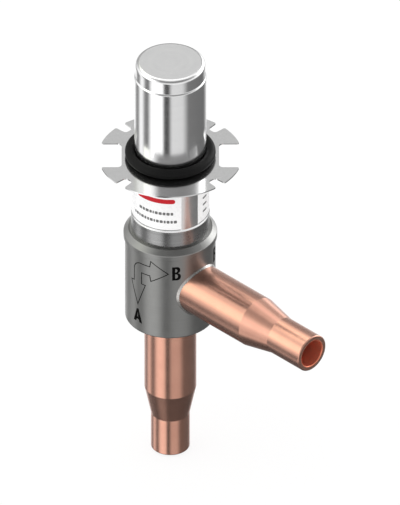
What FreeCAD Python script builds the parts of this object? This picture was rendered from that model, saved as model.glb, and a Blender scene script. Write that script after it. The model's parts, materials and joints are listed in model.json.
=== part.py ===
import FreeCAD, Part
import math
import os

# Electronic expansion valve: a rotor sealed in a steel canister turns a lead screw,
# which lifts a piston off its seat between a bottom port (A) and a side port (B).
# Millimetres. Z is the main axis, pointing up. The origin is the centre of the mouth
# of port A's solder socket. Port B points along +X.

V = FreeCAD.Vector
Z_AXIS = V(0, 0, 1)

# Clearances
SEAT_GAP = 0.03        # radial, a piece seated in a bore or counterbore
FACE_GAP = 0.02        # axial, between a ground face and the piece that closes on it
SLIDE_GAP = 0.05       # radial, a piston or spindle that runs in its bore
TOUCH_GAP = 0.005      # between an outer piece and the surface it lies on
CUT_OVER = 1.0         # how far a cutter runs past what it cuts

# Port tubes: copper, drawn down from a wide tube to a solder socket
SOCKET_R = 4.8         # bore for a 9.52 mm copper tube
SOCKET_DEPTH = 10.0    # from the mouth to the tube stop
STOP_STEP = 0.5        # how far the tube stop stands into the bore
TUBE_WALL = 1.77
WIDE_R = 8.79          # outer radius of the wide tube
SOCKET_LENGTH_A = 14.0
CONE_LENGTH_A = 10.8
WIDE_LENGTH_A = 29.5   # wide tube seen below the body
SOCKET_LENGTH_B = 14.9
CONE_LENGTH_B = 11.3
WIDE_LENGTH_B = 26.04  # wide tube seen outside the body, on the tube's axis
TUBE_BEND_R = 0.8      # rounding where the cone meets the straight stretches
MOUTH_ROUND = 0.35
TUBE_INSERT_A = 5.7    # length of tube A held in the body
BRAZE_LEG = 0.55       # of the braze bead, along the tube and along the body

# Body
BODY_R = 15.26
BODY_FOOT_ROUND = 0.45
WEB_A = 1.4            # ledge between tube A and the seat insert
PORT_B_SILL = 0.18     # from the top of the seat insert to the bottom of port B's bore
PORT_B_LEDGE = 1.75    # from the chamber's wall to tube B's end
LEDGE_WALL = 2.41      # between port B's counterbore and the guide's ledge
CHAMBER_RELIEF = 0.6   # radial room around the piston guide
COLLAR_PROUD = 0.54    # how far the collar stands out of the body
COLLAR_HEIGHT = 3.6
SHOULDER_DROP = 1.7    # from the body's top to the collar's outer corner
SHOULDER_GROOVE = 0.18 # depth of the groove around the neck
GROOVE_WIDTH = 0.6

# Seat
SEAT_THICKNESS = 2.6
THROAT_R = 5.0
SEAT_RING_WALL = 1.9
SEAT_RING_INSET = 0.6  # wall of the insert between the throat and the soft ring
SEAT_RING_DEPTH = 1.4
SEAT_RING_PROUD = 0.1

# Piston and its guide
STROKE = 5.0
PISTON_R = 7.65
GUIDE_WALL = 1.35
GUIDE_FLANGE = 1.6
GUIDE_LEAD = 1.5       # guide below the piston's seal
GUIDE_RISE = 4.0       # guide above the pin
NOSE_LENGTH = 2.4      # metering nose below the piston's face
NOSE_GAP = 0.12        # radial, at the root of the nose
NOSE_TAPER = 1.1       # radius lost from root to tip
PISTON_FLOOR = 3.0
PISTON_WALL = 2.6      # around the nut
SEAL_RISE = 10.0       # from the piston's face to its seal groove
SEAL_HEIGHT = 2.4
SEAL_WALL = 0.55
ENERGISER_D = 1.0
BALANCE_HOLE_R = 0.8
BALANCE_RING_R = 2.2
BALANCE_COUNT = 4
BALANCE_TURN = 45.0    # degrees about Z, the first balance hole
CAVITY_STEP = 1.2      # how much narrower the piston's cavity is below the nut

# Anti-rotation pin
PIN_R = 0.75
PIN_RISE = 3.0         # above the guide's flange
PIN_ENGAGE = 0.8       # how far the pin's end stands into the piston's slot
PIN_END_GAP = 0.3

# Spindle nut
NUT_LENGTH = 7.0
NUT_HOLE_R = 0.55
NUT_HOLE_COUNT = 4
RING_THICKNESS = 0.6
RING_BITE = 0.4        # how far a retaining ring sits into its groove
RING_WIDTH = 0.9
RING_LIP = 0.9         # piston above the nut's retaining ring
RING_MOUTH = 40.0      # degrees, gap of the split ring

# Bonnet
NECK_LEDGE = 1.6       # how far the neck stands out over the spigot
SPIGOT_LENGTH = 6.1
BONNET_SEAL_D = 1.2
BONNET_GROOVE_HEIGHT = 1.5
BONNET_SEAL_RISE = 1.2
NECK_HEIGHT = 6.2
CAN_FOOT_RISE = 3.0    # from the neck's top to the canister's foot
CAN_BOSS_HEIGHT = 2.0
TOWER_RISE = 8.0       # from the canister's foot to the bearing pocket's floor
TOWER_WALL = 2.0
TOWER_LIP = 0.65
PISTON_HEADROOM = 0.9

# Spindle
THREAD_R = 2.5
TIP_LENGTH = 3.0       # screw below the nut with the valve closed
BORE_RELIEF = 0.4      # radial room for the screw in the bonnet
SHAFT_R = 1.97
FLAT_DEPTH = 0.4       # flat that drives the shaft from the hub
SPINDLE_TIP_CHAMFER = 0.4

# Ball bearing
BEARING_R = 5.5
BEARING_WIDTH = 4.0
BALL_R = 1.1
BALL_COUNT = 7
BALL_GAP = 0.03
CIRCLIP_MOUTH = 50.0   # degrees, gap of the circlip in the bonnet
SHAFT_CLIP_MOUTH = 70.0
SHAFT_CLIP_WIDTH = 1.44
RACE_WALL = 1.15       # from the bore, or from the outside, to the race's shoulder
CAGE_WALL = 0.6
CAGE_WEB = 0.3         # above and below the ball pockets
DISC_SPRING_T = 0.35
DISC_SPRING_RISE = 0.4

# Rotor
ROTOR_GAP = 0.4        # radial, magnet to canister
MAGNET_WALL = 3.3
MAGNET_RISE = 4.1      # from the lock plate to the magnet
MAGNET_HEADROOM = 2.5
HUB_BOSS_WALL = 2.0
HUB_RIM_WALL = 1.0
HUB_DISC = 5.0
HUB_FLANGE = 1.0
HUB_FLANGE_LIP = 1.2
HUB_ROUND = 1.0
HUB_GAP = 2.5          # from the bearing tower to the hub

# Top bearing
TOP_PLATE_T = 1.8
TOP_BOSS_WALL = 0.7
TOP_BOSS_DROP = 1.2
TOP_BUSH_WALL = 1.0
TOP_WINDOW_R = 2.0
TOP_WINDOW_COUNT = 6

# Canister, sleeve, label and lock plate
CAN_R = 12.16          # where the coil sits
SKIRT_STEP = 0.25      # how much narrower the canister is below the coil's seat
SKIRT_RISE = 0.13      # from the O-ring's top to that step
CAN_WALL = 0.45
CAN_TOP_WALL = 0.5
CAP_STEP = 0.37        # radial, from the barrel in to the cap
CAP_HEIGHT = 5.9
CAP_ROUND = 1.4
STEP_HEIGHT = 0.55     # slope of the step between barrel and cap
BARREL_HEIGHT = 32.7   # from the lock plate to the step
SLEEVE_LENGTH = 22.45
SLEEVE_GAP = 0.09      # radial, sleeve to canister
SLEEVE_WALL = 1.05
SLEEVE_FLARE = 0.3     # how far the sleeve's foot flares out
FLARE_HEIGHT = 0.8
FLARE_ROUND = 0.4
SLEEVE_FOOT_ROUND = 0.15
NECK_PROUD = 0.15      # how far the neck stands out of the sleeve
LABEL_T = 0.08
LABEL_MARGIN_LOW = 0.95
LABEL_MARGIN_HIGH = 0.5
LABEL_GAP_FROM = -28.5 # degrees about Z, where the label ends
LABEL_GAP_TO = 0.3     # degrees about Z, where it starts
PLATE_R = 24.3
PLATE_T = 0.45
PLATE_TURN = 45.0      # degrees about Z, the first clip slot
CLIP_SLOT_WIDTH = 13.8
CLIP_SLOT_FLOOR = 16.4 # from the axis
CLIP_SLOT_ROUND = 1.5
NOTCH_ANGLE = 45.85    # degrees either side of each clip slot
NOTCH_SPREAD = 9.3     # degrees between a notch's sides
NOTCH_FLOOR = 19.9
NOTCH_ROUND = 1.2
TOOTH_ROUND = 0.6
COIL_RING_D = 3.4

# Radii that follow
CAN_BORE_R = CAN_R - CAN_WALL
SKIRT_R = CAN_R - SKIRT_STEP
SKIRT_BORE_R = SKIRT_R - CAN_WALL
CAP_R = CAN_R - CAP_STEP
CAP_BORE_R = CAP_R - CAN_WALL
SLEEVE_BORE_R = SKIRT_R + SLEEVE_GAP
SLEEVE_R = SLEEVE_BORE_R + SLEEVE_WALL
NECK_R = SLEEVE_R + NECK_PROUD
SPIGOT_R = NECK_R - NECK_LEDGE
GUIDE_R = PISTON_R + SLIDE_GAP + GUIDE_WALL
CHAMBER_R = GUIDE_R + CHAMBER_RELIEF
NUT_R = PISTON_R - PISTON_WALL - SEAT_GAP
COLLAR_R = BODY_R + COLLAR_PROUD
WIDE_BORE_R = WIDE_R - TUBE_WALL
SOCKET_OUT_R = SOCKET_R + TUBE_WALL
STOP_R = SOCKET_R - STOP_STEP
MAGNET_R = CAN_BORE_R - ROTOR_GAP
MAGNET_BORE_R = MAGNET_R - MAGNET_WALL
RACE_BORE_R = SHAFT_R + SEAT_GAP
RACE_IN_R = RACE_BORE_R + RACE_WALL
RACE_OUT_R = BEARING_R - RACE_WALL
BALL_RING_R = (RACE_IN_R + RACE_OUT_R) / 2
TOWER_R = BEARING_R + SEAT_GAP + TOWER_WALL

# Heights that follow, from the bottom up
BODY_Z = SOCKET_LENGTH_A + CONE_LENGTH_A + WIDE_LENGTH_A
SEAT_Z = BODY_Z + TUBE_INSERT_A + WEB_A
SEAT_TOP_Z = SEAT_Z + SEAT_THICKNESS
PORT_B_Z = SEAT_TOP_Z + PORT_B_SILL + WIDE_BORE_R
LEDGE_Z = PORT_B_Z + WIDE_R + LEDGE_WALL
SPIGOT_Z = LEDGE_Z + GUIDE_FLANGE
BODY_TOP_Z = SPIGOT_Z + SPIGOT_LENGTH
NECK_TOP_Z = BODY_TOP_Z + NECK_HEIGHT
CAN_FOOT_Z = NECK_TOP_Z + CAN_FOOT_RISE
SLEEVE_TOP_Z = NECK_TOP_Z + SLEEVE_LENGTH
PLATE_TOP_Z = SLEEVE_TOP_Z + PLATE_T
SKIRT_Z = PLATE_TOP_Z + COIL_RING_D + SKIRT_RISE
STEP_Z = PLATE_TOP_Z + BARREL_HEIGHT
TOP_Z = STEP_Z + CAP_HEIGHT
FACE_Z = SEAT_TOP_Z + SEAT_RING_PROUD + FACE_GAP
PIN_Z = SPIGOT_Z + PIN_RISE
PISTON_TOP_Z = PIN_Z + PIN_R + PIN_END_GAP
SLOT_Z = PIN_Z - PIN_R - STROKE - PIN_END_GAP
SEAL_Z = FACE_Z + SEAL_RISE
GUIDE_Z = SEAL_Z - GUIDE_LEAD
GUIDE_TOP_Z = PIN_Z + GUIDE_RISE
NUT_RING_Z = PISTON_TOP_Z - RING_LIP - RING_THICKNESS
NUT_TOP_Z = NUT_RING_Z - FACE_GAP
NUT_Z = NUT_TOP_Z - NUT_LENGTH
CAVITY_TOP_Z = PISTON_TOP_Z + STROKE + PISTON_HEADROOM
POCKET_Z = CAN_FOOT_Z + TOWER_RISE
BEARING_Z = POCKET_Z + DISC_SPRING_T + DISC_SPRING_RISE
BEARING_TOP_Z = BEARING_Z + BEARING_WIDTH
BALL_Z = BEARING_Z + BEARING_WIDTH / 2
TOWER_TOP_Z = BEARING_TOP_Z + FACE_GAP + RING_THICKNESS + TOWER_LIP
HUB_Z = TOWER_TOP_Z + HUB_GAP
MAGNET_Z = PLATE_TOP_Z + MAGNET_RISE
MAGNET_TOP_Z = STEP_Z - MAGNET_HEADROOM
TOP_PLATE_Z = STEP_Z + STEP_HEIGHT
SPINDLE_TIP_Z = NUT_Z - TIP_LENGTH
SPINDLE_TOP_Z = TOP_PLATE_Z + TOP_PLATE_T

# Reach of port B from the axis
PORT_B_X = BODY_R + WIDE_LENGTH_B + CONE_LENGTH_B + SOCKET_LENGTH_B
TUBE_B_STOP_X = CHAMBER_R + PORT_B_LEDGE


def rounded_wire(points):
    """Closed wire in the XZ plane through (r, z) or (r, z, corner radius) points."""
    count = len(points)
    corners = [V(p[0], 0, p[1]) for p in points]
    edges = []
    ends = []
    for i in range(count):
        here = corners[i]
        radius = points[i][2] if len(points[i]) > 2 else 0
        if radius == 0:
            ends.append((here, here))
            continue
        back = (corners[i - 1] - here).normalize()
        ahead = (corners[(i + 1) % count] - here).normalize()
        half = back.getAngle(ahead) / 2
        start = here + back * (radius / math.tan(half))
        end = here + ahead * (radius / math.tan(half))
        to_centre = (back + ahead).normalize()
        middle = here + to_centre * (radius / math.sin(half) - radius)
        edges.append(Part.Arc(start, middle, end).toShape())
        ends.append((start, end))
    for i in range(count):
        start = ends[i][1]
        end = ends[(i + 1) % count][0]
        if (end - start).Length > 1e-6:
            edges.append(Part.makeLine(start, end))
    return Part.Wire(Part.__sortEdges__(edges))


def turned(points):
    """Solid turned about Z from a closed outline of (r, z) points."""
    face = Part.Face(rounded_wire(points))
    return face.revolve(V(0, 0, 0), Z_AXIS, 360)


def rod(radius, z_low, z_high, x=0, y=0):
    """Cylinder parallel to Z."""
    return Part.makeCylinder(radius, z_high - z_low, V(x, y, z_low), Z_AXIS)


def ring(inner, outer, z_low, z_high):
    """Plain ring about Z."""
    return rod(outer, z_low, z_high).cut(rod(inner, z_low, z_high))


def rod_x(radius, x_low, x_high, z):
    """Cylinder parallel to X in the plane y = 0."""
    return Part.makeCylinder(radius, x_high - x_low, V(x_low, 0, z), V(1, 0, 0))


def torus(ring_radius, section_radius, z):
    """Round-section ring about Z."""
    return Part.makeTorus(ring_radius, section_radius, V(0, 0, z), Z_AXIS)


def around(shape, count, start_deg=0):
    """Copies of a shape spaced evenly about Z."""
    copies = []
    for i in range(count):
        copy = shape.copy()
        copy.rotate(V(0, 0, 0), Z_AXIS, start_deg + i * 360 / count)
        copies.append(copy)
    return copies


def split_ring(inner, outer, z_low, z_high, gap_deg):
    """Retaining ring with a gap centred on +X."""
    sector = Part.makeCylinder(outer * 2, z_high - z_low, V(0, 0, z_low), Z_AXIS, 360 - gap_deg)
    sector.rotate(V(0, 0, 0), Z_AXIS, gap_deg / 2)
    return ring(inner, outer, z_low, z_high).common(sector)


def port_tube(socket_length, cone_length, wide_length):
    """Tube along Z with its mouth at z = 0 and its wide end at the given length."""
    wide_z = socket_length + cone_length
    end_z = wide_z + wide_length
    return turned([
        (SOCKET_R, 0, MOUTH_ROUND),
        (SOCKET_OUT_R, 0, MOUTH_ROUND),
        (SOCKET_OUT_R, socket_length, TUBE_BEND_R),
        (WIDE_R, wide_z, TUBE_BEND_R),
        (WIDE_R, end_z),
        (WIDE_BORE_R, end_z),
        (WIDE_BORE_R, wide_z),
        (STOP_R, socket_length),
        (STOP_R, SOCKET_DEPTH),
        (SOCKET_R, SOCKET_DEPTH),
    ])


def port_a_tube():
    return port_tube(SOCKET_LENGTH_A, CONE_LENGTH_A, WIDE_LENGTH_A + TUBE_INSERT_A - FACE_GAP)


def port_b_tube():
    held = BODY_R - TUBE_B_STOP_X - FACE_GAP
    tube = port_tube(SOCKET_LENGTH_B, CONE_LENGTH_B, WIDE_LENGTH_B + held)
    tube.rotate(V(0, 0, 0), V(0, 1, 0), -90)
    tube.translate(V(PORT_B_X, 0, PORT_B_Z))
    return tube


def port_a_braze():
    tube_r = WIDE_R + SEAT_GAP
    return turned([
        (tube_r, BODY_Z - BRAZE_LEG),
        (tube_r + BRAZE_LEG, BODY_Z - FACE_GAP),
        (tube_r, BODY_Z - FACE_GAP),
    ])


def port_b_braze():
    """Saddle-shaped bead: the chamfer that fills the corner between the body and tube B."""
    tube_r = WIDE_R + SEAT_GAP
    post = rod(BODY_R + FACE_GAP, PORT_B_Z - 2 * WIDE_R, PORT_B_Z + 2 * WIDE_R)
    tube = rod_x(tube_r, 0, BODY_R + WIDE_LENGTH_B, PORT_B_Z)
    joined = post.fuse(tube)
    corner = []
    for edge in joined.Edges:
        box = edge.BoundBox
        along_tube = 0 < box.XMin and box.XMax < BODY_R + WIDE_LENGTH_B / 2
        if along_tube and box.ZLength > tube_r and box.ZMax < PORT_B_Z + tube_r + BRAZE_LEG:
            corner.append(edge)
    return joined.makeChamfer(BRAZE_LEG, corner).cut(joined)


def valve_body():
    groove_r = NECK_R + GROOVE_WIDTH
    groove_z = BODY_TOP_Z - SHOULDER_GROOVE
    bead_r = groove_r + (COLLAR_R - groove_r) / 5
    corner_z = BODY_TOP_Z - SHOULDER_DROP
    collar_z = BODY_TOP_Z - COLLAR_HEIGHT
    spigot_bore_r = SPIGOT_R + SEAT_GAP
    body = turned([
        (WIDE_R + SEAT_GAP, BODY_Z),
        (BODY_R, BODY_Z, BODY_FOOT_ROUND),
        (BODY_R, collar_z, COLLAR_PROUD / 4),
        (COLLAR_R, collar_z, COLLAR_PROUD / 4),
        (COLLAR_R, corner_z, COLLAR_PROUD),
        (bead_r, BODY_TOP_Z, SHOULDER_GROOVE / 2),
        (groove_r, groove_z, SHOULDER_GROOVE / 4),
        (NECK_R, groove_z),
        (NECK_R, BODY_TOP_Z),
        (spigot_bore_r, BODY_TOP_Z),
        (spigot_bore_r, LEDGE_Z),
        (CHAMBER_R, LEDGE_Z),
        (CHAMBER_R, SEAT_Z),
        (WIDE_BORE_R, SEAT_Z),
        (WIDE_BORE_R, SEAT_Z - WEB_A),
        (WIDE_R + SEAT_GAP, SEAT_Z - WEB_A),
    ])
    counterbore = rod_x(WIDE_R + SEAT_GAP, TUBE_B_STOP_X, 2 * BODY_R, PORT_B_Z)
    bore = rod_x(WIDE_BORE_R, 0, 2 * BODY_R, PORT_B_Z)
    return body.cut(counterbore).cut(bore)


def seat_insert():
    outer_r = CHAMBER_R - SEAT_GAP
    groove_in_r = THROAT_R + SEAT_RING_INSET
    groove_out_r = groove_in_r + SEAT_RING_WALL
    insert = ring(THROAT_R, outer_r, SEAT_Z, SEAT_TOP_Z)
    return insert.cut(ring(groove_in_r, groove_out_r, SEAT_TOP_Z - SEAT_RING_DEPTH, SEAT_TOP_Z))


def seat_ring():
    inner = THROAT_R + SEAT_RING_INSET + SEAT_GAP
    outer = THROAT_R + SEAT_RING_INSET + SEAT_RING_WALL - SEAT_GAP
    return ring(inner, outer, SEAT_TOP_Z - SEAT_RING_DEPTH, SEAT_TOP_Z + SEAT_RING_PROUD)


def piston():
    nose_root_r = THROAT_R - NOSE_GAP
    nose_tip_r = nose_root_r - NOSE_TAPER
    nose_z = FACE_Z - NOSE_LENGTH
    pocket_r = NUT_R + SEAT_GAP
    cavity_r = pocket_r - CAVITY_STEP
    ring_groove_r = pocket_r + RING_BITE
    seal_floor_r = PISTON_R - SEAL_WALL - ENERGISER_D
    piston_body = turned([
        (0, nose_z),
        (nose_tip_r, nose_z),
        (nose_root_r, FACE_Z),
        (PISTON_R, FACE_Z, MOUTH_ROUND),
        (PISTON_R, SEAL_Z),
        (seal_floor_r, SEAL_Z),
        (seal_floor_r, SEAL_Z + SEAL_HEIGHT),
        (PISTON_R, SEAL_Z + SEAL_HEIGHT),
        (PISTON_R, PISTON_TOP_Z, MOUTH_ROUND),
        (pocket_r, PISTON_TOP_Z),
        (pocket_r, NUT_RING_Z + RING_THICKNESS),
        (ring_groove_r, NUT_RING_Z + RING_THICKNESS),
        (ring_groove_r, NUT_RING_Z),
        (pocket_r, NUT_RING_Z),
        (pocket_r, NUT_Z),
        (cavity_r, NUT_Z),
        (cavity_r, FACE_Z + PISTON_FLOOR),
        (0, FACE_Z + PISTON_FLOOR),
    ])
    hole = rod(BALANCE_HOLE_R, nose_z - CUT_OVER, FACE_Z + PISTON_FLOOR + CUT_OVER, BALANCE_RING_R, 0)
    for cutter in around(hole, BALANCE_COUNT, BALANCE_TURN):
        piston_body = piston_body.cut(cutter)
    slot_half = PIN_R + SLIDE_GAP
    slot_floor = PISTON_R - PIN_ENGAGE - PIN_END_GAP
    slot = Part.makeBox(PISTON_R, 2 * slot_half, PISTON_TOP_Z - SLOT_Z,
                        V(-slot_floor - PISTON_R, -slot_half, SLOT_Z))
    return piston_body.cut(slot)


def piston_seal():
    inner = PISTON_R - SEAL_WALL
    outer = PISTON_R + SLIDE_GAP / 2
    return ring(inner, outer, SEAL_Z + FACE_GAP, SEAL_Z + SEAL_HEIGHT - FACE_GAP)


def piston_energiser():
    section = ENERGISER_D / 2 - SEAT_GAP / 2
    centre = PISTON_R - SEAL_WALL - ENERGISER_D / 2
    return torus(centre, section, SEAL_Z + SEAL_HEIGHT / 2)


def spindle_nut():
    nut = ring(THREAD_R + SLIDE_GAP, NUT_R, NUT_Z, NUT_TOP_Z)
    hole_ring_r = (THREAD_R + SLIDE_GAP + NUT_R) / 2
    hole = rod(NUT_HOLE_R, NUT_Z - CUT_OVER, NUT_TOP_Z + CUT_OVER, hole_ring_r, 0)
    for cutter in around(hole, NUT_HOLE_COUNT):
        nut = nut.cut(cutter)
    return nut


def nut_retaining_ring():
    outer = NUT_R + RING_BITE
    high_z = NUT_RING_Z + RING_THICKNESS - FACE_GAP
    return split_ring(outer - RING_WIDTH, outer, NUT_RING_Z, high_z, RING_MOUTH)


def piston_guide():
    bore_r = PISTON_R + SLIDE_GAP
    guide = turned([
        (bore_r, GUIDE_Z, MOUTH_ROUND / 2),
        (GUIDE_R, GUIDE_Z, MOUTH_ROUND),
        (GUIDE_R, LEDGE_Z),
        (SPIGOT_R, LEDGE_Z),
        (SPIGOT_R, SPIGOT_Z - FACE_GAP),
        (GUIDE_R, SPIGOT_Z - FACE_GAP),
        (GUIDE_R, GUIDE_TOP_Z),
        (bore_r, GUIDE_TOP_Z),
    ])
    return guide.cut(rod_x(PIN_R + SEAT_GAP, -2 * GUIDE_R, 0, PIN_Z))


def anti_rotation_pin():
    return rod_x(PIN_R, -SPIGOT_R, -(PISTON_R - PIN_ENGAGE), PIN_Z)


def bonnet():
    bore_r = GUIDE_R + SEAT_GAP
    screw_bore_r = THREAD_R + BORE_RELIEF
    pocket_r = BEARING_R + SEAT_GAP
    clip_groove_r = pocket_r + RING_BITE
    clip_z = BEARING_TOP_Z + FACE_GAP
    seal_floor_r = SPIGOT_R - BONNET_SEAL_D
    seal_low_z = SPIGOT_Z + BONNET_SEAL_RISE - BONNET_SEAL_D / 2
    seal_high_z = seal_low_z + BONNET_GROOVE_HEIGHT
    can_boss_r = SKIRT_BORE_R - SEAT_GAP
    can_boss_z = CAN_FOOT_Z + CAN_BOSS_HEIGHT
    part = turned([
        (bore_r, SPIGOT_Z),
        (SPIGOT_R, SPIGOT_Z),
        (SPIGOT_R, seal_low_z),
        (seal_floor_r, seal_low_z),
        (seal_floor_r, seal_high_z),
        (SPIGOT_R, seal_high_z),
        (SPIGOT_R, BODY_TOP_Z),
        (NECK_R, BODY_TOP_Z),
        (NECK_R, NECK_TOP_Z),
        (SLEEVE_BORE_R - SEAT_GAP, NECK_TOP_Z),
        (SLEEVE_BORE_R - SEAT_GAP, CAN_FOOT_Z),
        (can_boss_r, CAN_FOOT_Z),
        (can_boss_r, can_boss_z),
        (TOWER_R, can_boss_z),
        (TOWER_R, TOWER_TOP_Z),
        (pocket_r, TOWER_TOP_Z),
        (pocket_r, clip_z + RING_THICKNESS),
        (clip_groove_r, clip_z + RING_THICKNESS),
        (clip_groove_r, clip_z),
        (pocket_r, clip_z),
        (pocket_r, POCKET_Z),
        (screw_bore_r, POCKET_Z),
        (screw_bore_r, CAVITY_TOP_Z),
        (bore_r, CAVITY_TOP_Z),
    ])
    return part.cut(rod_x(PIN_R + SEAT_GAP, -SPIGOT_R - CUT_OVER, 0, PIN_Z))


def bonnet_o_ring():
    section = BONNET_SEAL_D / 2 - SEAT_GAP / 2
    centre = SPIGOT_R - BONNET_SEAL_D / 2
    return torus(centre, section, SPIGOT_Z + BONNET_SEAL_RISE)


def race_groove():
    return torus(BALL_RING_R, BALL_R + BALL_GAP, BALL_Z)


def bearing_inner_race():
    return ring(RACE_BORE_R, RACE_IN_R, BEARING_Z, BEARING_TOP_Z).cut(race_groove())


def bearing_outer_race():
    return ring(RACE_OUT_R, BEARING_R, BEARING_Z, BEARING_TOP_Z).cut(race_groove())


def bearing_balls():
    ball = Part.makeSphere(BALL_R, V(BALL_RING_R, 0, BALL_Z))
    return Part.makeCompound(around(ball, BALL_COUNT))


def bearing_cage():
    half = BALL_R + BALL_GAP + CAGE_WEB
    cage = ring(BALL_RING_R - CAGE_WALL / 2, BALL_RING_R + CAGE_WALL / 2, BALL_Z - half, BALL_Z + half)
    pocket = rod_x(BALL_R + BALL_GAP, BALL_RING_R / 2, BEARING_R, BALL_Z)
    for cutter in around(pocket, BALL_COUNT):
        cage = cage.cut(cutter)
    return cage


def bearing_spring():
    """Coned disc that presses the outer race up against its retaining ring."""
    inner = RACE_OUT_R
    outer = BEARING_R
    return turned([
        (outer, POCKET_Z),
        (outer, POCKET_Z + DISC_SPRING_T),
        (inner, BEARING_Z - FACE_GAP),
        (inner, BEARING_Z - FACE_GAP - DISC_SPRING_T),
    ])


def bearing_circlip():
    outer = BEARING_R + RING_BITE
    low_z = BEARING_TOP_Z + FACE_GAP
    high_z = low_z + RING_THICKNESS - FACE_GAP
    return split_ring(outer - RING_WIDTH, outer, low_z, high_z, CIRCLIP_MOUTH)


def shaft_flat(depth, z_low, z_high):
    """Block that takes the drive flat off the shaft's +Y side."""
    return Part.makeBox(4 * SHAFT_R, 2 * SHAFT_R, z_high - z_low,
                        V(-2 * SHAFT_R, SHAFT_R - depth, z_low))


def spindle():
    clip_z = BEARING_TOP_Z + FACE_GAP
    groove_r = SHAFT_R - RING_BITE
    shoulder_z = BEARING_Z - FACE_GAP
    part = turned([
        (0, SPINDLE_TIP_Z),
        (THREAD_R - SPINDLE_TIP_CHAMFER, SPINDLE_TIP_Z),
        (THREAD_R, SPINDLE_TIP_Z + SPINDLE_TIP_CHAMFER),
        (THREAD_R, shoulder_z),
        (SHAFT_R, shoulder_z),
        (SHAFT_R, clip_z),
        (groove_r, clip_z),
        (groove_r, clip_z + RING_THICKNESS),
        (SHAFT_R, clip_z + RING_THICKNESS),
        (SHAFT_R, SPINDLE_TOP_Z, SPINDLE_TIP_CHAMFER),
        (0, SPINDLE_TOP_Z),
    ])
    return part.cut(shaft_flat(FLAT_DEPTH, HUB_Z - CUT_OVER, MAGNET_TOP_Z))


def spindle_clip():
    inner = SHAFT_R - RING_BITE + SEAT_GAP
    low_z = BEARING_TOP_Z + FACE_GAP
    high_z = low_z + RING_THICKNESS - FACE_GAP
    return split_ring(inner, inner + SHAFT_CLIP_WIDTH, low_z, high_z, SHAFT_CLIP_MOUTH)


def rotor_hub():
    bore_r = SHAFT_R + SEAT_GAP
    boss_r = bore_r + HUB_BOSS_WALL
    rim_r = MAGNET_BORE_R - SEAT_GAP
    rim_in_r = rim_r - HUB_RIM_WALL
    flange_r = MAGNET_BORE_R + HUB_FLANGE_LIP
    flange_z = MAGNET_Z - HUB_FLANGE
    disc_z = (MAGNET_Z + MAGNET_TOP_Z - HUB_DISC) / 2
    hub = turned([
        (bore_r, HUB_Z),
        (boss_r, HUB_Z, MOUTH_ROUND),
        (boss_r, disc_z, HUB_ROUND),
        (rim_in_r, disc_z, HUB_ROUND),
        (rim_in_r, flange_z),
        (flange_r, flange_z),
        (flange_r, MAGNET_Z - FACE_GAP),
        (rim_r, MAGNET_Z - FACE_GAP),
        (rim_r, MAGNET_TOP_Z),
        (rim_in_r, MAGNET_TOP_Z),
        (rim_in_r, disc_z + HUB_DISC, HUB_ROUND),
        (boss_r, disc_z + HUB_DISC, HUB_ROUND),
        (boss_r, MAGNET_TOP_Z, MOUTH_ROUND),
        (bore_r, MAGNET_TOP_Z),
    ])
    key = rod(SHAFT_R + 2 * SEAT_GAP, HUB_Z, MAGNET_TOP_Z).common(
        shaft_flat(FLAT_DEPTH - SEAT_GAP, HUB_Z, MAGNET_TOP_Z))
    return hub.fuse(key).removeSplitter()


def rotor_magnet():
    return turned([
        (MAGNET_BORE_R, MAGNET_Z, MOUTH_ROUND),
        (MAGNET_R, MAGNET_Z, MOUTH_ROUND),
        (MAGNET_R, MAGNET_TOP_Z, MOUTH_ROUND),
        (MAGNET_BORE_R, MAGNET_TOP_Z, MOUTH_ROUND),
    ])


def top_bearing_plate():
    bush_r = SHAFT_R + SLIDE_GAP + TOP_BUSH_WALL + SEAT_GAP
    boss_r = bush_r + TOP_BOSS_WALL
    outer_r = CAP_BORE_R - SEAT_GAP
    top_z = TOP_PLATE_Z + TOP_PLATE_T
    plate = turned([
        (bush_r, TOP_PLATE_Z - TOP_BOSS_DROP),
        (boss_r, TOP_PLATE_Z - TOP_BOSS_DROP),
        (boss_r, TOP_PLATE_Z),
        (outer_r, TOP_PLATE_Z),
        (outer_r, top_z),
        (bush_r, top_z),
    ])
    window = rod(TOP_WINDOW_R, TOP_PLATE_Z - CUT_OVER, top_z + CUT_OVER, (boss_r + outer_r) / 2, 0)
    for cutter in around(window, TOP_WINDOW_COUNT):
        plate = plate.cut(cutter)
    return plate


def top_bush():
    inner = SHAFT_R + SLIDE_GAP
    return ring(inner, inner + TOP_BUSH_WALL, TOP_PLATE_Z - TOP_BOSS_DROP, TOP_PLATE_Z + TOP_PLATE_T)


def rotor_canister():
    step_top_z = STEP_Z + STEP_HEIGHT
    return turned([
        (SKIRT_BORE_R, CAN_FOOT_Z),
        (SKIRT_R, CAN_FOOT_Z),
        (SKIRT_R, SKIRT_Z),
        (CAN_R, SKIRT_Z + SKIRT_STEP),
        (CAN_R, STEP_Z, STEP_HEIGHT / 2),
        (CAP_R, step_top_z, STEP_HEIGHT / 2),
        (CAP_R, TOP_Z, CAP_ROUND),
        (0, TOP_Z),
        (0, TOP_Z - CAN_TOP_WALL),
        (CAP_BORE_R, TOP_Z - CAN_TOP_WALL, CAP_ROUND - CAN_WALL),
        (CAP_BORE_R, step_top_z - CAN_WALL),
        (CAN_BORE_R, STEP_Z - CAN_WALL),
        (CAN_BORE_R, SKIRT_Z + SKIRT_STEP),
        (SKIRT_BORE_R, SKIRT_Z),
    ])


def housing_sleeve():
    return turned([
        (SLEEVE_BORE_R, NECK_TOP_Z),
        (SLEEVE_R + SLEEVE_FLARE, NECK_TOP_Z, SLEEVE_FOOT_ROUND),
        (SLEEVE_R, NECK_TOP_Z + FLARE_HEIGHT, FLARE_ROUND),
        (SLEEVE_R, SLEEVE_TOP_Z),
        (SLEEVE_BORE_R, SLEEVE_TOP_Z),
    ])


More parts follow.
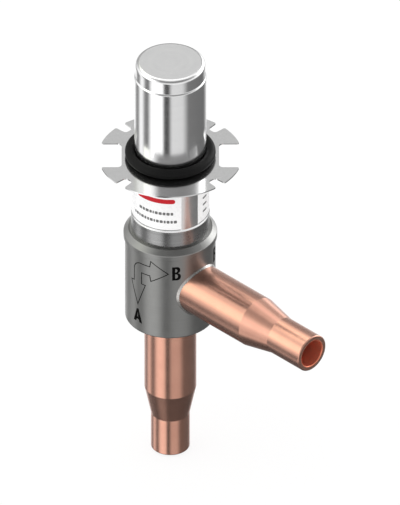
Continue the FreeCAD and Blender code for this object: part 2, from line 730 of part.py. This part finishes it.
def label():
    inner = SLEEVE_R + TOUCH_GAP
    low_z = NECK_TOP_Z + LABEL_MARGIN_LOW
    high_z = SLEEVE_TOP_Z - LABEL_MARGIN_HIGH
    outline = Part.makePolygon([
        V(inner, 0, low_z),
        V(inner + LABEL_T, 0, low_z),
        V(inner + LABEL_T, 0, high_z),
        V(inner, 0, high_z),
        V(inner, 0, low_z),
    ])
    film = Part.Face(outline).revolve(V(0, 0, 0), Z_AXIS, 360 - (LABEL_GAP_TO - LABEL_GAP_FROM))
    film.rotate(V(0, 0, 0), Z_AXIS, LABEL_GAP_TO)
    return film


def notch_cutter():
    """Wedge between two radial lines, from the notch's floor outwards, centred on +X."""
    half = math.radians(NOTCH_SPREAD / 2)
    reach = 2 * PLATE_R
    low = V(0, 0, SLEEVE_TOP_Z - CUT_OVER)
    wedge = Part.makePolygon([
        low,
        low + V(reach * math.cos(half), -reach * math.sin(half), 0),
        low + V(reach * math.cos(half), reach * math.sin(half), 0),
        low,
    ])
    solid = Part.Face(wedge).extrude(V(0, 0, PLATE_T + 2 * CUT_OVER))
    return solid.cut(rod(NOTCH_FLOOR, SLEEVE_TOP_Z - 2 * CUT_OVER, PLATE_TOP_Z + 2 * CUT_OVER))


def fillet_upright(plate, from_axis, radius):
    """Round the plate's upright edges that stand at the given distance from the axis."""
    chosen = []
    for edge in plate.Edges:
        box = edge.BoundBox
        upright = box.ZLength > PLATE_T / 2 and box.XLength + box.YLength < 1e-3
        if upright and abs(math.hypot(box.XMin, box.YMin) - from_axis) < 1e-3:
            chosen.append(edge)
    return plate.makeFillet(radius, chosen)


def star_lock_plate():
    plate = ring(SLEEVE_BORE_R, PLATE_R, SLEEVE_TOP_Z, PLATE_TOP_Z)
    clip_slot = Part.makeBox(PLATE_R, CLIP_SLOT_WIDTH, PLATE_T + 2 * CUT_OVER,
                             V(CLIP_SLOT_FLOOR, -CLIP_SLOT_WIDTH / 2, SLEEVE_TOP_Z - CUT_OVER))
    for cutter in around(clip_slot, 2):
        plate = plate.cut(cutter)
    for side in (-NOTCH_ANGLE, NOTCH_ANGLE):
        for cutter in around(notch_cutter(), 2, side):
            plate = plate.cut(cutter)
    clip_corner = math.hypot(CLIP_SLOT_FLOOR, CLIP_SLOT_WIDTH / 2)
    plate = fillet_upright(plate, clip_corner, CLIP_SLOT_ROUND)
    plate = fillet_upright(plate, NOTCH_FLOOR, NOTCH_ROUND)
    plate = fillet_upright(plate, PLATE_R, TOOTH_ROUND)
    plate.rotate(V(0, 0, 0), Z_AXIS, PLATE_TURN)
    return plate


def coil_o_ring():
    section = COIL_RING_D / 2
    return torus(SKIRT_R + TOUCH_GAP + section, section, PLATE_TOP_Z + section)


NODES = {
    "valve_body": valve_body,
    "port_a_tube": port_a_tube,
    "port_b_tube": port_b_tube,
    "port_a_braze": port_a_braze,
    "port_b_braze": port_b_braze,
    "seat_insert": seat_insert,
    "seat_ring": seat_ring,
    "piston": piston,
    "piston_seal": piston_seal,
    "piston_energiser": piston_energiser,
    "spindle_nut": spindle_nut,
    "nut_retaining_ring": nut_retaining_ring,
    "piston_guide": piston_guide,
    "anti_rotation_pin": anti_rotation_pin,
    "bonnet": bonnet,
    "bonnet_o_ring": bonnet_o_ring,
    "spindle": spindle,
    "bearing_inner_race": bearing_inner_race,
    "bearing_outer_race": bearing_outer_race,
    "bearing_balls": bearing_balls,
    "bearing_cage": bearing_cage,
    "bearing_spring": bearing_spring,
    "bearing_circlip": bearing_circlip,
    "spindle_clip": spindle_clip,
    "rotor_hub": rotor_hub,
    "rotor_magnet": rotor_magnet,
    "top_bearing_plate": top_bearing_plate,
    "top_bush": top_bush,
    "rotor_canister": rotor_canister,
    "housing_sleeve": housing_sleeve,
    "label": label,
    "star_lock_plate": star_lock_plate,
    "coil_o_ring": coil_o_ring,
}

os.makedirs("parts", exist_ok=True)
for node, make in NODES.items():
    make().exportStep("parts/" + node + ".step")
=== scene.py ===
import json
import math

import bmesh
import bpy
from mathutils import Matrix, Vector
from mathutils.geometry import tessellate_polygon


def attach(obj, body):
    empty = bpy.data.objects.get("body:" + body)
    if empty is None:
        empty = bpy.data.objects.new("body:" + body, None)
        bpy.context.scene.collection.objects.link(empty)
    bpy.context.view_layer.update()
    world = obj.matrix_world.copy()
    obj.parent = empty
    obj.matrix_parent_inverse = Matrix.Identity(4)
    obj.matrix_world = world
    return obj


# Electronic expansion valve, in the part's own frame: +Z up the main axis, +X out of port B.
# The solids, the camera and the studio are in metres, marks and print in millimetres.

MM = 0.001

# The picture
PICTURE_ROWS = 505
PIXEL_MM = 0.3368       # mm of the valve in one pixel
VIEW_AZIMUTH = 45.0     # the camera's place, from -Y towards +X
VIEW_ELEVATION = 35.264
FRONT = VIEW_AZIMUTH - 90                     # the same azimuth, counted from +X
CAMERA_AIM = Vector((0.00707, 0.00707, 0.0791))
CAMERA_DISTANCE = 1.0
CLIP_START = 0.01
CLIP_END = 20.0

# Radii of the solids, in mm
BODY_R = 15.26
LABEL_R = 13.135
WIDEST_BORE_R = 7.1     # a little more than the widest bore of a port tube

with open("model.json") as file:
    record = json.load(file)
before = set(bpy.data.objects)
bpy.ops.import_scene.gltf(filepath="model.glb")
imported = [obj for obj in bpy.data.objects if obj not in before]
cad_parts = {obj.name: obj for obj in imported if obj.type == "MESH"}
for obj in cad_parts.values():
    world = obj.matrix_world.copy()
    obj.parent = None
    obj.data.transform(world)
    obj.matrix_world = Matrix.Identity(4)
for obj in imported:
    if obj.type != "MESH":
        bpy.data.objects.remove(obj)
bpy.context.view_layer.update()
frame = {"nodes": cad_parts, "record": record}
nodes = frame["nodes"]
mounts = {mount["name"]: mount for mount in frame["record"]["mounts"]}
scene = bpy.context.scene


# Material tools

NOISE_LOW = 0.3         # noise mostly stays between these two
NOISE_HIGH = 0.7
CLOUD_DETAIL = 4.0
LINE_DETAIL = 1.0
LINE_SHARE = 0.8        # of the turning lines in a turned metal's tint, the rest is cloudy
LACQUER_ROUGHNESS = 0.45


def new_material(name, metallic=0.0):
    mat = bpy.data.materials.new(name)
    mat.use_nodes = True
    shader = mat.node_tree.nodes["Principled BSDF"]
    shader.inputs["Metallic"].default_value = metallic
    return mat, mat.node_tree, shader


def add(tree, kind, inputs=None, **settings):
    """A node with some settings, and inputs given as sockets or values."""
    item = tree.nodes.new(kind)
    for key, value in settings.items():
        setattr(item, key, value)
    for key, value in (inputs or {}).items():
        if isinstance(value, bpy.types.NodeSocket):
            tree.links.new(value, item.inputs[key])
        else:
            item.inputs[key].default_value = value
    return item


def math_node(tree, operation, a, b=0.0, c=0.0):
    return add(tree, "ShaderNodeMath", {0: a, 1: b, 2: c}, operation=operation).outputs[0]


def ramp(tree, factor, stops):
    """Colour ramp through (position, value or colour) stops."""
    item = add(tree, "ShaderNodeValToRGB", {"Fac": factor})
    elements = item.color_ramp.elements
    while len(elements) < len(stops):
        elements.new(0.5)
    for element, (position, value) in zip(elements, stops):
        element.position = position
        colour = value if isinstance(value, tuple) else grey(value)
        element.color = (*colour, 1.0)
    return item.outputs["Color"]


def grey(value):
    return (value, value, value)


def object_point(tree):
    return add(tree, "ShaderNodeTexCoord").outputs["Object"]


def noise(tree, point, scale, detail):
    return add(tree, "ShaderNodeTexNoise", {"Vector": point, "Scale": scale, "Detail": detail}).outputs["Fac"]


def turned_point(tree):
    """Radius and height about the main axis, so that a pattern runs in circles."""
    split = add(tree, "ShaderNodeSeparateXYZ", {0: object_point(tree)})
    square = math_node(tree, "ADD", math_node(tree, "MULTIPLY", split.outputs[0], split.outputs[0]),
                       math_node(tree, "MULTIPLY", split.outputs[1], split.outputs[1]))
    radius = math_node(tree, "SQRT", square)
    return add(tree, "ShaderNodeCombineXYZ", {0: radius, 2: split.outputs[2]}).outputs[0]


def vary_roughness(tree, shader, pattern, low, high):
    item = add(tree, "ShaderNodeMapRange", {"Value": pattern, "From Min": NOISE_LOW, "From Max": NOISE_HIGH,
                                            "To Min": low, "To Max": high})
    tree.links.new(item.outputs["Result"], shader.inputs["Roughness"])


def tint(tree, shader, pattern, dark, light):
    colour = ramp(tree, pattern, [(NOISE_LOW, dark), (NOISE_HIGH, light)])
    tree.links.new(colour, shader.inputs["Base Color"])


def bump(tree, shader, pattern, depth):
    """Relief of that depth in metres."""
    item = add(tree, "ShaderNodeBump", {"Height": pattern, "Distance": depth, "Strength": 1.0})
    tree.links.new(item.outputs["Normal"], shader.inputs["Normal"])


def metal(name, dark, light, rough, grain=300.0, turned=0.0, turned_depth=0.0, metallic=1.0, lacquer=0.0):
    """Metal with a cloudy finish and a dull lacquer. Where turned is set it has turning lines, and turned
    is how dense they are."""
    mat, tree, shader = new_material(name, metallic)
    shader.inputs["Coat Weight"].default_value = lacquer
    shader.inputs["Coat Roughness"].default_value = LACQUER_ROUGHNESS
    pattern = noise(tree, object_point(tree), grain, CLOUD_DETAIL)
    vary_roughness(tree, shader, pattern, *rough)
    if turned:
        lines = noise(tree, turned_point(tree), turned, LINE_DETAIL)
        bump(tree, shader, lines, turned_depth)
        cloud = math_node(tree, "MULTIPLY", pattern, 1 - LINE_SHARE)
        pattern = math_node(tree, "MULTIPLY_ADD", lines, LINE_SHARE, cloud)
    tint(tree, shader, pattern, dark, light)
    return mat


def solid(name, dark, light, rough, grain=600.0, relief=0.0, shine=0.5):
    """Plastic, rubber, film or ink with a fine grain."""
    mat, tree, shader = new_material(name)
    shader.inputs["Specular IOR Level"].default_value = shine
    pattern = noise(tree, object_point(tree), grain, CLOUD_DETAIL)
    tint(tree, shader, pattern, dark, light)
    vary_roughness(tree, shader, pattern, *rough)
    if relief:
        bump(tree, shader, pattern, relief)
    return mat


# Finishes: the record's slots, then those of single pieces, and a painted reflection on the faces of the
# bores

FINISHES = {
    "satin_steel": metal("satin_steel", (0.270, 0.270, 0.262), (0.302, 0.302, 0.294), (0.33, 0.38),
                         turned=9000.0, turned_depth=2e-6, lacquer=1.0),
    "turned_steel": metal("turned_steel", grey(0.26), grey(0.38), (0.26, 0.29),
                          turned=1400.0, turned_depth=3e-6, lacquer=1.0),
    "polished_steel": metal("polished_steel", (0.89, 0.89, 0.895), (0.93, 0.93, 0.93), (0.15, 0.18),
                            turned=3000.0, turned_depth=2e-7),
    "spring_steel": metal("spring_steel", grey(0.45), grey(0.55), (0.25, 0.35)),
    "bearing_steel": metal("bearing_steel", grey(0.60), grey(0.68), (0.08, 0.14)),
    "copper": metal("copper", (0.71, 0.35, 0.25), (0.77, 0.39, 0.28), (0.23, 0.25), grain=160.0, lacquer=1.0),
    "braze": metal("braze", (0.44, 0.42, 0.40), (0.56, 0.54, 0.52), (0.20, 0.30), grain=1500.0),
    "bronze": metal("bronze", (0.56, 0.38, 0.18), (0.66, 0.47, 0.24), (0.22, 0.32),
                    turned=5000.0, turned_depth=4e-6),
    "black_rubber": solid("black_rubber", grey(0.004), grey(0.007), (0.50, 0.60),
                          grain=2500.0, relief=4e-6, shine=0.15),
    "white_film": solid("white_film", grey(0.93), grey(0.96), (0.25, 0.32), grain=900.0),
    "seal_plastic": solid("seal_plastic", grey(0.75), grey(0.82), (0.40, 0.50)),
    "hub_plastic": solid("hub_plastic", grey(0.018), grey(0.028), (0.40, 0.50), relief=6e-6),
    "magnet": solid("magnet", grey(0.022), grey(0.034), (0.55, 0.65), relief=8e-6),
}
OWN_FINISHES = {
    "star_lock_plate": metal("plate_steel", grey(0.76), grey(0.82), (0.10, 0.14), grain=1800.0),
    "housing_sleeve": metal("sleeve_steel", grey(0.88), grey(0.92), (0.23, 0.27),
                            turned=3000.0, turned_depth=5e-7),
}
# Painted reflection: a redder, partly dull copper whose colour stands in for the light bounced round inside a
# bore
BORE_PAINTED_REFLECTION = metal("copper_bore_painted_reflection", (0.80, 0.24, 0.14), (0.90, 0.31, 0.19), (0.20, 0.26),
                    grain=160.0, metallic=0.65)
BLACK_INK = solid("black_ink", grey(0.001), grey(0.003), (0.75, 0.85), grain=3000.0, shine=0.06)
RED_INK = solid("red_ink", (0.52, 0.008, 0.016), (0.60, 0.014, 0.024), (0.45, 0.60), grain=3000.0, shine=0.2)
GREY_INK = solid("grey_ink", grey(0.13), grey(0.18), (0.45, 0.60), grain=3000.0, shine=0.2)


def dress_nodes():
    for part in frame["record"]["subparts"]:
        name = part["node"]
        materials = nodes[name].data.materials
        materials.clear()
        materials.append(OWN_FINISHES.get(name) or FINISHES[part["material_slot"]])


def paint_bore_reflection(node, mount):
    """Painted reflection on the faces of a port tube that look at its axis: an orange-red that stands in for
    light bounced between the copper walls of the bore.
    """
    item = nodes[node]
    item.data.materials.append(BORE_PAINTED_REFLECTION)
    mouth = Vector(mount["pos_m"])
    axis = Vector(mount["axis"])
    for polygon in item.data.polygons:
        from_mouth = item.matrix_world @ polygon.center - mouth
        across = from_mouth - axis * from_mouth.dot(axis)
        inward = (item.matrix_world.to_3x3() @ polygon.normal).dot(across) < 0
        if across.length < WIDEST_BORE_R * MM and inward:
            polygon.material_index = 1


dress_nodes()
paint_bore_reflection("port_a_tube", mounts["port_a_socket"])
paint_bore_reflection("port_b_tube", mounts["port_b_socket"])


# Drawing tools: outlines of (across, height) points in mm, and thin pieces wrapped round the main axis

INK_THICK = 0.03
INK_SINK = 0.01         # how far ink reaches into the surface under it
MAX_EDGE = 0.45         # longest edge that still follows the surface
MAX_SPLITS = 8
SHARPEST = 0.35         # keeps a strip's outline short at its sharp corners
CORNER_STEPS = 4


def arc_points(centre, radius, start, end, count, squash=1.0):
    points = []
    for i in range(count + 1):
        angle = math.radians(start + (end - start) * i / count)
        points.append((centre[0] + squash * radius * math.cos(angle), centre[1] + radius * math.sin(angle)))
    return points


def strip(points, width):
    """Outer and inner outline of a strip that follows a closed line of points."""
    outer = []
    inner = []
    for i, point in enumerate(points):
        here = Vector(point)
        along_in = (here - Vector(points[i - 1])).normalized()
        along_out = (Vector(points[(i + 1) % len(points)]) - here).normalized()
        normal = Vector((along_in.y + along_out.y, -along_in.x - along_out.x)).normalized()
        reach = width / 2 / max(SHARPEST, normal.dot(Vector((along_in.y, -along_in.x))))
        outer.append(tuple(here + normal * reach))
        inner.append(tuple(here - normal * reach))
    return [outer, inner]


def rounded_bar(width, low, high, corner):
    """Outline of a bar about the middle."""
    points = []
    for side, z, start in ((1, low, -90), (1, high, 0), (-1, high, 90), (-1, low, 180)):
        centre = (side * (width / 2 - corner), z + (corner if z == low else -corner))
        points += arc_points(centre, corner, start, start + 90, CORNER_STEPS)
    return [points]


def moved(loops, across, mirror=1):
    return [[(mirror * x + across, z) for x, z in loop] for loop in loops]


def flat_mesh(loops):
    """Triangles between the loops, small enough to be bent."""
    rings = [[Vector((x, z, 0)) for x, z in loop] for loop in loops]
    mesh = bmesh.new()
    corners = [mesh.verts.new(point) for ring in rings for point in ring]
    for triangle in tessellate_polygon(rings):
        if len(set(triangle)) == 3:
            mesh.faces.new([corners[i] for i in triangle])
    for _ in range(MAX_SPLITS):
        long = [edge for edge in mesh.edges if edge.calc_length() > MAX_EDGE]
        if not long:
            break
        bmesh.ops.bisect_edges(mesh, edges=long, cuts=1)
        bmesh.ops.triangulate(mesh, faces=mesh.faces[:])
    return mesh


def thicken(mesh, thickness):
    """A top over the flat mesh, and walls between the two."""
    rim = [edge.verts[:] for edge in mesh.edges if len(edge.link_faces) == 1]
    raised = {vert: mesh.verts.new(vert.co + Vector((0, 0, thickness))) for vert in mesh.verts[:]}
    for face in mesh.faces[:]:
        mesh.faces.new([raised[vert] for vert in face.verts])
    for first, second in rim:
        mesh.faces.new((first, second, raised[second], raised[first]))


def wrapped(name, loops, radius, azimuth, material):
    """Thin closed piece of ink, bent round the main axis with its middle at an azimuth."""
    mesh = flat_mesh(loops)
    thicken(mesh, INK_THICK)
    for vert in mesh.verts:
        angle = math.radians(azimuth) + vert.co.x / radius
        reach = radius - INK_SINK + vert.co.z
        vert.co = Vector((reach * math.cos(angle), reach * math.sin(angle), vert.co.y)) * MM
    bmesh.ops.recalc_face_normals(mesh, faces=mesh.faces[:])
    data = bpy.data.meshes.new(name)
    mesh.to_mesh(data)
    mesh.free()
    data.materials.append(material)
    item = bpy.data.objects.new(name, data)
    scene.collection.objects.link(item)
    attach(item, "housing")


# Port marks on the body

LETTER_A = (58.2, 63.6, 4.0)        # foot, top and width
LETTER_B = (78.3, 83.7, 3.0)
A_ACROSS = -12.25
ARROW_LINE = 0.30
ARROW_BEND = (-10.6, 79.4)          # centre of the shaft's bend
ARROW_BEND_R = 3.4
BEND_STEPS = 8
BOWL_STEPS = 10


def letter_a(low, high, width):
    height = high - low
    stroke = 0.30 * width
    bar_low = low + 0.20 * height
    bar_high = low + 0.38 * height
    hole_top = high - 0.20 * height
    foot = width / 2
    narrowing = 0.80

    def leg(z):
        """Outer edge of the right leg."""
        return foot * (1 - narrowing * (z - low) / height)

    outline = [(-foot, low), (-foot + stroke, low), (-leg(bar_low) + stroke, bar_low),
               (leg(bar_low) - stroke, bar_low), (foot - stroke, low), (foot, low), (leg(high), high),
               (-leg(high), high)]
    hole = [(-leg(bar_high) + stroke, bar_high), (leg(bar_high) - stroke, bar_high), (0, hole_top)]
    return [outline, hole]


def letter_b(low, high, width):
    stem = 0.34 * width
    thin = 0.26 * width
    waist = low + 0.53 * (high - low)
    left = -width / 2
    right = width / 2
    right_above = right - 0.2
    squash_outside = 0.8
    squash_inside = 0.7

    def bowl(bottom, top, furthest, squash, steps):
        """Half an ellipse from bottom to top."""
        radius = (top - bottom) / 2
        return arc_points((furthest - radius * squash, bottom + radius), radius, -90, 90, steps, squash)

    def eye(bottom, top, furthest):
        inside = bowl(bottom, top, furthest, squash_inside, BEND_STEPS)
        return [(left + stem, bottom)] + inside + [(left + stem, top)]

    lower = bowl(low, waist, right, squash_outside, BOWL_STEPS)
    upper = bowl(waist, high, right_above, squash_outside, BOWL_STEPS)
    outline = [(left, low)] + lower + upper[1:] + [(left, high)]
    low_eye = eye(low + thin, waist - thin / 2, right - stem)
    high_eye = eye(waist + thin / 2, high - thin, right_above - stem)
    return [outline, low_eye, high_eye]


def flow_arrow():
    """Bent double arrow, drawn as a thin line. One head points to port B, the other to port A."""
    points = [(-0.6, 80.9), (-6.8, 76.9), (-7.2, 79.1), (-10.5, 79.1), (-10.5, 74.5), (-8.9, 74.5),
              (-12.2, 65.5), (-15.5, 74.3), (-14.0, 74.6)]
    points += arc_points(ARROW_BEND, ARROW_BEND_R, 180, 90, BEND_STEPS)
    points += [(-7.2, 82.8), (-6.8, 85.1)]
    return strip(points, ARROW_LINE)


def port_marks(side, mirror, b_across):
    azimuth = FRONT * mirror
    wrapped("mark_b_" + side, moved(letter_b(*LETTER_B), b_across), BODY_R, azimuth, BLACK_INK)
    wrapped("mark_a_" + side, moved(letter_a(*LETTER_A), A_ACROSS * mirror), BODY_R, azimuth, BLACK_INK)
    wrapped("mark_arrow_" + side, moved(flow_arrow(), 0, mirror), BODY_R, azimuth, BLACK_INK)


port_marks("front", mirror=1, b_across=2.12)
port_marks("back", mirror=-1, b_across=-3.3)


# Print on the label: a red band, two rows of grey bars, three short ones at its end and an edge line

BAR_HEIGHT = 1.1
BAR_GAP = 0.3
BAR_CORNER = 0.25
UPPER_WIDTHS = (1.3, 1.0, 1.3, 0.9, 0.5, 1.1, 1.1, 1.0, 1.1, 0.9)
LOWER_WIDTHS = (0.8, 1.1, 0.7, 1.2, 0.9, 0.8, 1.1, 0.6, 1.0, 1.1, 0.7, 1.0, 0.8, 1.1)


def print_on_label(name, width, low, high, corner, azimuth, material=GREY_INK):
    wrapped(name, rounded_bar(width, low, high, corner), LABEL_R, azimuth, material)


def print_row(row, low, first, widths):
    """Bars side by side, the left end of the first one at the azimuth first."""
    azimuth = first
    for count, width in enumerate(widths):
        azimuth += math.degrees(width / 2 / LABEL_R)
        print_on_label("print_%s_%02d" % (row, count), width, low, low + BAR_HEIGHT, BAR_CORNER, azimuth)
        azimuth += math.degrees((width / 2 + BAR_GAP) / LABEL_R)


print_on_label("print_band", width=14.6, low=108.3, high=110.1, corner=0.9, azimuth=-69.5, material=RED_INK)
print_row("upper", low=103.6, first=-97.0, widths=UPPER_WIDTHS)
print_row("lower", low=100.3, first=-108.5, widths=LOWER_WIDTHS)
for count, low in enumerate((100.8, 103.5, 106.2)):
    print_on_label("print_side_%02d" % count, width=2.6, low=low, high=low + 0.7, corner=0.2, azimuth=17.0)
print_on_label("print_edge", width=75.4, low=97.3, high=97.55, corner=0.05, azimuth=165.9)


# Camera

def aim_camera():
    azimuth = math.radians(VIEW_AZIMUTH)
    elevation = math.radians(VIEW_ELEVATION)
    back = Vector((math.sin(azimuth) * math.cos(elevation), -math.cos(azimuth) * math.cos(elevation),
                   math.sin(elevation)))
    right = Vector((math.cos(azimuth), math.sin(azimuth), 0))
    up = back.cross(right)
    data = bpy.data.cameras.new("camera")
    data.type = "ORTHO"
    data.ortho_scale = PICTURE_ROWS * PIXEL_MM * MM
    data.clip_start = CLIP_START
    data.clip_end = CLIP_END
    camera = bpy.data.objects.new("camera", data)
    scene.collection.objects.link(camera)
    turn = Matrix((right, up, back)).transposed().to_4x4()
    camera.matrix_world = Matrix.Translation(CAMERA_AIM + back * CAMERA_DISTANCE) @ turn
    scene.camera = camera


aim_camera()


# Studio

WHITE = (1, 1, 1, 1)
FLOOR_HALF = 3.0
FLOOR_Z = -0.0006
FLOOR_GLOW = 0.85       # share of plain white in what the camera sees of the floor
FILL_STRENGTH = 1.02    # of the plain light that falls on what isn't glossy
SUN_ENERGY = 0.5
SUN_ANGLE = math.radians(70)
SUN_TURN = (math.radians(35), math.radians(-25), 0)


def studio_floor():
    """White floor that keeps a faint shadow and isn't mirrored in the metal."""
    mat = bpy.data.materials.new("studio_floor")
    mat.use_nodes = True
    tree = mat.node_tree
    tree.nodes.clear()
    out = add(tree, "ShaderNodeOutputMaterial")
    pale = add(tree, "ShaderNodeBsdfDiffuse", {"Color": WHITE})
    white = add(tree, "ShaderNodeEmission", {"Color": WHITE, "Strength": 1.0})
    path = add(tree, "ShaderNodeLightPath")
    share = math_node(tree, "MULTIPLY", path.outputs["Is Camera Ray"], FLOOR_GLOW)
    mix = add(tree, "ShaderNodeMixShader", {0: share, 1: pale.outputs[0], 2: white.outputs[0]})
    tree.links.new(mix.outputs[0], out.inputs["Surface"])
    data = bpy.data.meshes.new("studio_floor")
    corners = [(x * FLOOR_HALF, y * FLOOR_HALF, FLOOR_Z) for x, y in ((-1, -1), (1, -1), (1, 1), (-1, 1))]
    data.from_pydata(corners, [], [(0, 1, 2, 3)])
    data.materials.append(mat)
    item = bpy.data.objects.new("studio_floor", data)
    scene.collection.objects.link(item)
    item.visible_glossy = False


# A bright panel with slightly yellow light
WARM = (1.9, 1.95, 1.75)

# What the metal mirrors: rings of the studio's walls, each at an elevation, with stops of azimuth
# from the camera's side and brightness. All angles are in degrees.
STUDIO_RINGS = [
    (-47, [(-180, 0.12), (-155, 0.20), (-140, 0.10), (-82, 0.10), (-62, 0.28), (-34, 0.28), (-18, 0.10),
           (150, 0.10), (180, 0.12)]),
    (-39, [(-180, 1.2), (-152, 1.0), (-140, 0.30), (-124, 0.26), (-113, 1.05), (-102, 1.05), (-90, 0.28),
           (-78, 0.16), (-67, 1.1), (-58, 1.4), (-26, 1.25), (-19, 0.08), (-6, 0.06), (5, 0.74), (40, 0.72),
           (60, 0.18), (135, 0.15), (150, 0.5), (166, 0.9), (180, 1.2)]),
    (-24, [(-180, 1.1), (-152, 1.0), (-140, 0.25), (-124, 0.25), (-114, 1.05), (-100, 1.0), (-92, 0.16),
           (-72, 0.16), (-58, 1.1), (-48, 1.4), (-26, 1.3), (-19, 0.08), (-6, 0.06), (5, 0.82), (40, 0.78),
           (60, 0.20), (135, 0.16), (150, 0.4), (166, 0.8), (180, 1.1)]),
    (-5, [(-180, 0.35), (-140, 0.6), (-110, 1.0), (-80, 1.0), (-60, 1.0), (0, 1.0), (60, 0.9), (120, 1.4),
          (150, 0.9), (168, 0.4), (180, 0.35)]),
    (10, [(-180, 0.26), (-150, 0.4), (-125, 1.0), (-98, 1.2), (-84, WARM), (-72, WARM), (-58, 1.5),
          (-25, 0.8), (40, 0.8), (80, 1.0), (105, 1.4), (116, 4.0), (145, 4.0), (158, 1.8), (171, 0.22),
          (180, 0.22)]),
    (30, [(-180, 0.45), (-150, 0.4), (-118, 0.9), (-98, 1.0), (-88, WARM), (-60, 1.5), (-36, 0.35),
          (40, 0.3), (80, 0.4), (98, 0.8), (118, 2.8), (142, 2.2), (158, 0.40), (180, 0.45)]),
    (50, [(-180, 1.4), (-166, WARM), (-115, WARM), (-98, 1.2), (-84, 0.6), (-60, 0.65), (-36, 0.22),
          (65, 0.22), (100, 0.5), (130, 1.2), (160, 0.7), (180, 1.4)]),
    (66, [(-180, 1.4), (-115, 1.2), (-95, 0.45), (-60, 0.40), (-30, 0.30), (65, 0.30), (100, 0.8),
          (150, 1.3), (180, 1.4)]),
    (80, [(-180, 0.75), (180, 0.75)]),
]


def studio_walls(tree):
    """Brightness by direction: each ring blends into the next one up."""
    direction = add(tree, "ShaderNodeTexCoord").outputs["Generated"]
    split = add(tree, "ShaderNodeSeparateXYZ", {0: direction})
    azimuth = math_node(tree, "ARCTAN2", split.outputs[1], split.outputs[0])
    turns = math_node(tree, "MULTIPLY_ADD", azimuth, 1 / (2 * math.pi), 0.5 - FRONT / 360)
    turn = math_node(tree, "FRACT", turns)
    elevation = math_node(tree, "ARCSINE", split.outputs[2])
    rings = [ramp(tree, turn, [((a + 180) / 360, brightness) for a, brightness in stops])
             for _, stops in STUDIO_RINGS]
    heights = [math.radians(height) for height, _ in STUDIO_RINGS]
    walls = rings[0]
    for ring, below, above in zip(rings[1:], heights, heights[1:]):
        share = add(tree, "ShaderNodeMapRange", {"Value": elevation, "From Min": below, "From Max": above},
                    interpolation_type="SMOOTHSTEP")
        mix = add(tree, "ShaderNodeMix", {0: share.outputs["Result"]}, data_type="RGBA")
        tree.links.new(walls, mix.inputs[6])
        tree.links.new(ring, mix.inputs[7])
        walls = mix.outputs[2]
    return walls


def studio_world():
    """The camera sees white, metal mirrors the walls, and everything else gets plain light."""
    world = bpy.data.worlds.new("studio")
    scene.world = world
    world.use_nodes = True
    tree = world.node_tree
    tree.nodes.clear()
    out = add(tree, "ShaderNodeOutputWorld")
    path = add(tree, "ShaderNodeLightPath")
    bands = add(tree, "ShaderNodeBackground", {"Color": studio_walls(tree), "Strength": 1.0})
    plain = add(tree, "ShaderNodeBackground", {"Color": WHITE, "Strength": FILL_STRENGTH})
    white = add(tree, "ShaderNodeBackground", {"Color": WHITE, "Strength": 1.0})
    lit = add(tree, "ShaderNodeMixShader", {0: path.outputs["Is Glossy Ray"], 1: plain.outputs[0],
                                            2: bands.outputs[0]})
    seen = add(tree, "ShaderNodeMixShader", {0: path.outputs["Is Camera Ray"], 1: lit.outputs[0],
                                             2: white.outputs[0]})
    tree.links.new(seen.outputs[0], out.inputs["Surface"])
    world.cycles.sampling_method = "NONE"


def soft_light():
    data = bpy.data.lights.new("soft_light", "SUN")
    data.energy = SUN_ENERGY
    data.angle = SUN_ANGLE
    lamp = bpy.data.objects.new("soft_light", data)
    lamp.rotation_euler = SUN_TURN
    lamp.visible_glossy = False
    scene.collection.objects.link(lamp)


studio_floor()
studio_world()
soft_light()

scene.view_settings.view_transform = "Standard"
